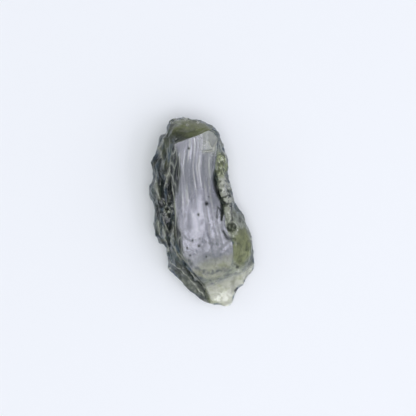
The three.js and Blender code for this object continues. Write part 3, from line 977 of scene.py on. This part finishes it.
tint = laid_over(np.tile(np.array(CLEAR), (len(verts), 1)), [
    (OLIVE, 1.0, chipped * (1 - tip)),
    # A painted shade on the left part of the upper chip.
    (INK, 1.0, chip_shade * upper * step(away, 0.0, 0.05)),
    (INK, 0.6, chipped * bump(oval(4.9, -4.8, 0.8, 1.2)) * step(mottle, -0.3, 0.2)),
    (INK, 0.35, chipped * step(mottle, 0.0, 0.5)),
    (STRAW, 1.0, tip),
    (OLIVE, 0.5, tip * step(mottle, 0.05, 0.4)),
    # Soil and painted shade on the left flank and the underside.
    (INK, 1.0, flank_shade_and_soil + underside_shade_and_soil),
    (OLIVE, 0.5, left_side * bump(oval(-3.75, 6.8, 0.55, 1.6))),
    (OLIVE, 0.2, left_side * step(swell(1.1, (1, 2, 1), 27.0), 0.05, 0.35)),
    # Soil and painted shade in a valley of the flank and over the group of pits.
    (INK, 0.9, left_side * bump(oval(-5.1, 4.9, 0.5, 1.2))),
    (INK, 0.7, left_side * bump(oval(-4.0, 0.2, 0.9, 1.3))),
    # Teal on the cup crests of the steep flank and on its bulges is a painted reflection.
    (TEAL, 0.8, steep_flank * step(large_cups, 0.25, 0.7)),
    (TEAL, 0.6, left_side * bulging),
    # Slate on the smooth right slope is a painted grey-lilac reflection, and the dark blue rim along the
    # steep edges a painted edge reflection.
    (SLATE, 0.5, upper * bump(oval(4.1, 0.4, 1.0, 2.6))),
    (RIM_BLUE, 0.85, rim),
    # Soil and painted shade in the hollows, then pale wear and painted highlights on the crests.
    (INK, 1.0, dark),
    (PALE, 1.0, pale),
    (SPRING, 0.7, speckled * step(y, 3.6, 4.6) * (1 - dark)),
])
print("mean colour of the skin", np.round(tint[~on_break].mean(axis=0), 2))

# %% [markdown]
# ## The film of the break
# The break carries a thin weathered film that mirrors more than bare glass: its lilac sheen. It is
# made as a clear coat whose weight changes from point to point, in the same streaks as the relief.
# First come the parts of the break that differ: the bent corner, a slate patch, the worn low end,
# brushed marks, and bubbles and cracks where the film is lost.

# %% Corner, slate patch and low end
THIN_STREAKS = (0.22, 3.5, 21)
WIDE_STREAKS = (0.6, 5.0, 33)
BENT_CORNER_FADE = (-0.3, 0.6)
BENT_CORNER_FROM = (5.6, 6.4)
WORN_CORNER_FADE = (-0.7, 1.0)
WORN_CORNER_FROM = (6.4, 7.1)
SLATE_PATCH = (0.75, 5.0, 0.85, 1.7)
LOW_END_FADE = (5.0, 6.4)

thin_streaks = streak(*THIN_STREAKS)
wide_streaks = streak(*WIDE_STREAKS)
corner = step(past_corner(x, y), *BENT_CORNER_FADE) * step(y, *BENT_CORNER_FROM)
worn_corner = step(x + 0.6 - 0.25 * (8.8 - y) + 0.5 * swell(0.4), *WORN_CORNER_FADE)
worn_corner = worn_corner * step(y + 0.3 * swell(0.5), *WORN_CORNER_FROM)
corner = np.maximum(corner, worn_corner)
slate = bump(oval(*SLATE_PATCH)) * step(wide_streaks, -0.5, 0.3)
low_end = step(0.35 * (x - 0.5) - y + 0.7 * swell(0.8, (1.6, 1, 1), 5.0), *LOW_END_FADE)
print("the low end covers", int((low_end * on_break > 0.5).sum()), "points of the break")

# %% [markdown]
# Brushed marks are short strokes across the lower half. The film is gone in the bubbles and cracks.
# The two ridges of the corner shine, and each has a soft shadow beside it.

# %% Brushed marks, lost film and lines of the corner
BRUSHES = [
    [(-2.1, -2.6, 0.08), (-1.6, -3.0, 0.14), (-1.1, -3.35, 0.06)],
    [(0.3, -3.3, 0.1), (1.2, -3.5, 0.22), (2.4, -3.6, 0.14)],
    [(0.0, -4.4, 0.1), (0.8, -4.6, 0.24), (1.5, -5.0, 0.12)],
    [(0.2, -5.5, 0.15), (1.0, -5.4, 0.25), (1.6, -5.6, 0.1)],
]
BRUSHED_STRENGTH = 0.6
BRUSHED_FROM = (2.6, 4.2)
FRAY = 0.8
BUBBLE_HALO = 1.2
CORNER_SHADOW_WIDTH = 2.2

brushed = BRUSHED_STRENGTH * step(-y, *BRUSHED_FROM) * step(swell(0.5, (1.5, 1, 1), 8.0), 0.05, 0.35)
frayed = FRAY * swell(0.3)
brushed = np.maximum(brushed, all_bumps(line(brush) + frayed for brush in BRUSHES))
bubble_spots = [bowl(oval(cx, cy, BUBBLE_HALO * r, BUBBLE_HALO * r) ** 2) for cx, cy, r in BUBBLES]
lost = np.maximum(np.max(bubble_spots, axis=0), all_bumps(line(crack) for crack in CRACKS))
corner_lines = all_bumps(line(ridge) for ridge in CORNER_RIDGES)
corner_shadow = all_bumps(line(ridge) / CORNER_SHADOW_WIDTH for ridge in CORNER_RIDGES) * (1 - corner_lines)
print("the film is lost at", int((lost * on_break > 0.5).sum()), "points")

# %% [markdown]
# The film's weight is then a sum: an even base, thin and wide streaks in the upper half, blotches
# where the streaks fade, brighter bands, a duller left side, and a soft bright field with a pale
# edge in the middle.

# %% Weight of the film
STREAKS_LOST_LOW = 0.75
STREAKS_LOST_CORNER = 0.85
FILM_BASE = 0.39
FILM_THIN_STREAKS = 0.9
FILM_WIDE_STREAKS = 0.7
FILM_BLOTCHES = 0.7
FILM_BAND = 0.55
FILM_DULL = 0.42
FILM_FIELD = 0.14
FILM_FIELD_EDGE = 0.2
FILM_TOP_DIP = 0.2
FILM_LOW_DIP = 0.08
BRIGHT_BANDS = [
    [(-1.5, 8.6, 0.4), (-1.6, 6.3, 0.3)],
    [(-1.62, 1.4, 0.13), (-1.9, -0.8, 0.13)],
    [(-0.3, 1.7, 0.3), (-0.5, 0.2, 0.5), (-0.9, -2.0, 0.65), (-1.3, -3.4, 0.6)],
]
DULL_LEFT = (-1.75, 2.4, 1.0, 3.0)
FIELD = (0.15, -1.5, 1.15, 3.4)
FIELD_EDGE = [
    (-0.78, 1.5, 0.08), (-0.2, 1.95, 0.1), (0.58, 1.79, 0.1), (1.1, 0.73, 0.12), (1.19, -0.43, 0.08),
]

streaky = (1 - STREAKS_LOST_LOW * step(-y, -3.0, 1.0)) * (1 - STREAKS_LOST_CORNER * corner)
blotches = swell(0.5, (1, 1.4, 1), 41.0) + 0.7 * swell(0.2, shift=43.0)
bright_band = all_bumps(line(band) for band in BRIGHT_BANDS)
dull_left = bump(oval(*DULL_LEFT))
field = 1 - step(oval(*FIELD) + 0.2 * swell(0.8), 0.85, 1.0)
film = FILM_BASE - FILM_DULL * dull_left + FILM_THIN_STREAKS * thin_streaks * streaky
film += FILM_WIDE_STREAKS * wide_streaks * (0.4 + 0.6 * streaky)
film += FILM_BLOTCHES * (1 - streaky) * (1 - 0.5 * corner) * blotches
film += FILM_BAND * bright_band + FILM_FIELD * field + FILM_FIELD_EDGE * bump(line(FIELD_EDGE))
film -= FILM_TOP_DIP * bump((y - 4.2) / 2.2) + FILM_LOW_DIP * step(-y, 1.0, 3.0)
print("weight of the film", round(film[on_break].mean(), 2), "on the break")

# %% [markdown]
# The special parts weaken it. On the corner the film is thin, and on the ribs of the border, the
# groove and the wedge hardly any is left.

# %% Film of the corner, ribs, groove and wedge
WEAKER_BY = {"slate": 0.6, "low_end": 0.8, "brushed": 0.6, "corner": 0.1, "ribs": 0.95}
RIB_TOPS = (0.8, 0.95)
RIB_TOPS_KEEP = 0.4
CORNER_SHINE = 0.25
LINE_SHINE = 0.5
SHADOW_LOSS = 0.15

film *= (1 - WEAKER_BY["slate"] * slate) * (1 - WEAKER_BY["low_end"] * low_end)
film *= (1 - WEAKER_BY["brushed"] * brushed) * (1 - WEAKER_BY["corner"] * corner)
film *= 1 - at_margin * (WEAKER_BY["ribs"] - RIB_TOPS_KEEP * step(margin_ribs, *RIB_TOPS))
film += CORNER_SHINE * corner + LINE_SHINE * corner_lines - SHADOW_LOSS * corner_shadow
film = np.clip(film * (1 - lost) * (1 - groove_dark) * (1 - wedge), 0, 1)
print("weight of the film", round(film[on_break].mean(), 2), "once parts are lost")

# %% [markdown]
# ## Colours under the film
# Under the film lies a painted lilac-grey sheen, laid with other colours in the same way as on
# the skin.
# Three slate bands cross the low end and the tip, on break and skin alike.

# %% Colours laid on the break
LILAC = (0.42, 0.43, 0.53)
PALE_LILAC = (0.86, 0.86, 0.98)
RIB_GREY = (0.17, 0.20, 0.19)
CORNER_GREY = (0.95, 0.98, 0.93)
TIP_BANDS = [
    [(-0.6, -7.5, 0.3), (1.06, -8.0, 0.4), (2.3, -7.5, 0.3), (3.2, -7.0, 0.3), (4.5, -6.9, 0.15)],
    [(-0.9, -6.2, 0.2), (0.6, -6.9, 0.3), (2.2, -6.5, 0.25), (3.2, -6.6, 0.2)],
    [(5.6, -5.0, 0.15), (5.2, -5.8, 0.35), (4.6, -6.5, 0.4)],
]
TIP_BAND_STRENGTH = 0.75

ruffled = 0.5 * swell(0.6)
banded = all_bumps(line(band) + ruffled for band in TIP_BANDS) * (0.8 + swell(0.3))
# The lilac-grey ground colour of the break is a painted sheen.
break_tint = laid_over(np.tile(np.array(LILAC), (len(verts), 1)), [
    # Slate in the slate patch, the brushed marks and on the duller left side is a painted darker reflection,
    # and the pale lilac low on the left a painted sheen.
    (SLATE, 1.0, slate + 0.6 * brushed),
    (SLATE, 0.6, dull_left * (1 - bright_band)),
    (PALE_LILAC, 0.8, step(-y, 4.0, 5.4) * step(0.6 - x, 0.0, 1.5)),
    # Painted highlights along the thin streaks.
    (PALE, 0.5, streaky * step(thin_streaks, 0.1, 0.45)),
    # The ribs of the border: their own grey, soil and painted shade in the furrows, and pale tops that are
    # partly wear and partly painted highlight.
    (RIB_GREY, 1.0, at_margin),
    (INK, 1.0, at_margin * (1 - step(margin_ribs, 0.45, 0.7))),
    (PALE, 0.55, at_margin * step(margin_ribs, 0.84, 0.97)),
    (STRAW, 1.0, low_end),
    (OLIVE, 0.55, low_end * step(mottle, 0.0, 0.35)),
    (CORNER_GREY, 1.0, corner),
    (SLATE, 0.3, corner * step(mottle, 0.1, 0.5)),
    # A painted shadow beside each ridge of the corner and a painted highlight on it.
    (SLATE, 0.7, corner_shadow),
    (PALE, 1.0, corner_lines),
    # Painted shade in the bubbles and cracks, and soil and painted shade in the groove.
    (INK, 1.0, np.maximum(lost, groove_dark)),
    (OLIVE, 1.0, wedge),
    # A painted shade on the wedge.
    (INK, 1.0, chip_shade * wedge),
    (SLATE, TIP_BAND_STRENGTH, banded),
])
tint = laid_over(tint, [(SLATE, TIP_BAND_STRENGTH, banded * upper)])
tint = np.where(on_break[:, None], break_tint, tint)
print("mean colour of the break", np.round(break_tint[on_break].mean(axis=0), 2))

# %% [markdown]
# ## Frost and film of the skin
# The pale marks of the skin, which are wear and painted highlights, and the worn tip scatter light
# as frosted glass does. They also get a part of the coat, because a pale crest catches the lamps
# where the hollows, darkened with soil and painted shade, don't.

# %% Frost, and the film off the break
FROST = {"tip": 0.75, "corner": 0.6, "ribs": 0.35}
FILM_ON_FROST = 0.7
FILM_ON_TIP = 0.95

skin_frost = np.maximum(pale, FROST["tip"] * tip) * upper
break_frost = np.maximum(FROST["corner"] * corner, FROST["ribs"] * at_margin) * (1 - wedge)
frost = np.where(on_break, break_frost, skin_frost)
film = np.where(on_break, film, np.maximum(FILM_ON_FROST * frost, FILM_ON_TIP * tip * upper))
print("mean frost", round(frost.mean(), 2), "and mean film", round(film.mean(), 2))

# %% [markdown]
# Colours and shares are written into the layers of the points, where the material can read them.
# That costs no image, and it keeps every stain and all painted light and shade on its own mark.

# %% Write them on the points
for layer, values in (("frost", frost), ("film", film)):
    values_layer = bm.verts.layers.float[layer]
    for v, value in zip(verts, values):
        v[values_layer] = value
tint_layer = bm.verts.layers.float_vector["tint"]
for v, colour in zip(verts, np.clip(tint, 0, 1)):
    v[tint_layer] = Vector(colour)
stone_mesh = bpy.data.meshes.new("moldavite_glass")
bm.to_mesh(stone_mesh)
bm.free()
print("mean tint", np.round(tint.mean(axis=0), 2))

# %% [markdown]
# ## The copy takes the solid's place
# The carved copy is made an object that rides on the stone's body, stands for the solid and fills
# its material slot. Smooth shading hides the triangles, as they are finer than any mark.

# %% Put the copy in place of the solid
stone = bpy.data.objects.new("moldavite_glass", stone_mesh)
bpy.context.scene.collection.objects.link(stone)
for face in stone_mesh.polygons:
    face.use_smooth = True
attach(stone, "root")
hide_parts("moldavite")
print("the stone has", len(stone_mesh.polygons), "triangles")

# %% [markdown]
# ## The body of the glass
# Natural glass bends light a little less than window glass, so its refractive index is 1.49. The
# green belongs to the depth and not to the surface: an absorption takes a share of the light for
# every millimetre, so the thin tip stays pale and the thick left side goes nearly black. About a
# quarter of the surface is stain, wear and painted light and shade that light doesn't pass, and it
# shows the colours above.

# %% Glass that absorbs light
GLASS_INDEX = 1.49
GLASS_CLEARNESS = 0.72
DEPTH_COLOUR = (0.535, 0.56, 0.30, 1)
DEPTH_DENSITY = 420

glass = bpy.data.materials.new("moldavite_glass")
glass.use_nodes = True
tree = glass.node_tree
shader = tree.nodes["Principled BSDF"]
shader.inputs["IOR"].default_value = GLASS_INDEX
shader.inputs["Transmission Weight"].default_value = GLASS_CLEARNESS
depth = tree.nodes.new("ShaderNodeVolumeAbsorption")
depth.inputs["Color"].default_value = DEPTH_COLOUR
depth.inputs["Density"].default_value = DEPTH_DENSITY
tree.links.new(depth.outputs["Volume"], tree.nodes["Material Output"].inputs["Volume"])
print("absorption of", DEPTH_DENSITY, "per metre")

# %% [markdown]
# A material is a net of nodes. Five small helpers keep the net readable: one adds a node, one sets
# or links a socket, one reads a layer of the points, one stretches a value to a range, and one
# mixes two values.


# %% Helpers for the net of nodes
def feed(socket, value):
    """Links a socket to another node's output, or sets it to a plain value."""
    if isinstance(value, bpy.types.NodeSocket):
        tree.links.new(value, socket)
    else:
        socket.default_value = value


def node(kind, **inputs):
    """Adds a node and sets or links its inputs, named with _ for a space."""
    made = tree.nodes.new(kind)
    for name, value in inputs.items():
        feed(made.inputs[name.replace("_", " ")], value)
    return made


def layer_of(name, output="Fac"):
    """Reads a layer of the points."""
    made = tree.nodes.new("ShaderNodeAttribute")
    made.attribute_name = name
    return made.outputs[output]


def ranged(value, low, high):
    """A 0 to 1 value drawn out to run from low to high."""
    return node("ShaderNodeMapRange", Value=value, To_Min=low, To_Max=high).outputs["Result"]


def mixed(share, first, second):
    """The first value where the share is 0, the second where it is 1."""
    made = tree.nodes.new("ShaderNodeMix")
    feed(made.inputs[0], share)
    feed(made.inputs[2], first)
    feed(made.inputs[3], second)
    return made.outputs[0]


print("the net has", len(tree.nodes), "nodes so far")

# %% [markdown]
# ## Gloss
# Three fine patterns go over the whole stone: hair-fine streaks along the break, the etched grain
# of the skin, and clouds that let both change from place to place. The break is a little duller
# along its streaks, bare skin is glossy, and frost is dull wherever it was written.

# %% Fine patterns and roughness
STREAK_SCALE = 3500
STREAK_STRETCH = (1, 0.07, 1)
ETCH_SCALE = 5500
CLOUD_SCALE = 700
SKIN_ROUGHNESS = (0.0, 0.1)
BREAK_ROUGHNESS = (0.08, 0.26)
FROST_ROUGHNESS = (0.3, 0.5)


def fine_noise(where, scale, detail, roughness):
    """Fine noise from 0 to 1, in so many waves per metre."""
    made = node("ShaderNodeTexNoise", Vector=where, Scale=scale, Detail=detail, Roughness=roughness)
    return made.outputs["Fac"]


here = tree.nodes.new("ShaderNodeTexCoord").outputs["Object"]
lengthwise = node("ShaderNodeMapping", Vector=here, Scale=STREAK_STRETCH).outputs["Vector"]
streaks = fine_noise(lengthwise, STREAK_SCALE, 4, 0.6)
etch = fine_noise(here, ETCH_SCALE, 3, 0.6)
clouds = fine_noise(here, CLOUD_SCALE, 3, 0.5)
bare = mixed(layer_of("on_break"), ranged(clouds, *SKIN_ROUGHNESS), ranged(streaks, *BREAK_ROUGHNESS))
feed(shader.inputs["Roughness"], mixed(layer_of("frost"), bare, ranged(clouds, *FROST_ROUGHNESS)))
print("roughness from", SKIN_ROUGHNESS[0], "to", FROST_ROUGHNESS[1])

# %% [markdown]
# The coat is the film. Its index is higher than the glass's, so it mirrors the lamps more strongly,
# and its weight comes from the points. The base colour, stains and painted light and shade alike,
# comes from the points too, and the clouds make it a little uneven.

# %% Film and base colour
FILM_INDEX = 1.8
FILM_ROUGHNESS = 0.15
TINT_CLOUDING = (0.8, 1.1)

feed(shader.inputs["Coat Weight"], layer_of("film"))
shader.inputs["Coat IOR"].default_value = FILM_INDEX
shader.inputs["Coat Roughness"].default_value = FILM_ROUGHNESS
patchy_tint = tree.nodes.new("ShaderNodeVectorMath")
patchy_tint.operation = "SCALE"
feed(patchy_tint.inputs[0], layer_of("tint", "Vector"))
feed(patchy_tint.inputs["Scale"], ranged(clouds, *TINT_CLOUDING))
feed(shader.inputs["Base Color"], patchy_tint.outputs["Vector"])
print("the coat's index is", FILM_INDEX)

# %% [markdown]
# The very finest relief, a few thousandths of a millimetre, would need millions of triangles. A
# bump map tilts the light there instead: streaks on the break, grain on the skin.

# %% Finest relief
FINE_STRENGTH = 0.5
STREAK_DEPTH = 0.004
ETCH_DEPTH = 0.01


def fine_relief(pattern, deep):
    """The surface's tilt under a pattern of a depth in millimetres."""
    made = node("ShaderNodeBump", Height=pattern, Strength=FINE_STRENGTH, Distance=deep * MM)
    return made.outputs["Normal"]


relief = tree.nodes.new("ShaderNodeMix")
relief.data_type = "VECTOR"
feed(relief.inputs[0], layer_of("on_break"))
feed(relief.inputs[4], fine_relief(etch, ETCH_DEPTH))
feed(relief.inputs[5], fine_relief(streaks, STREAK_DEPTH))
feed(shader.inputs["Normal"], relief.outputs[1])
stone_mesh.materials.append(glass)
print("the net has", len(tree.nodes), "nodes")
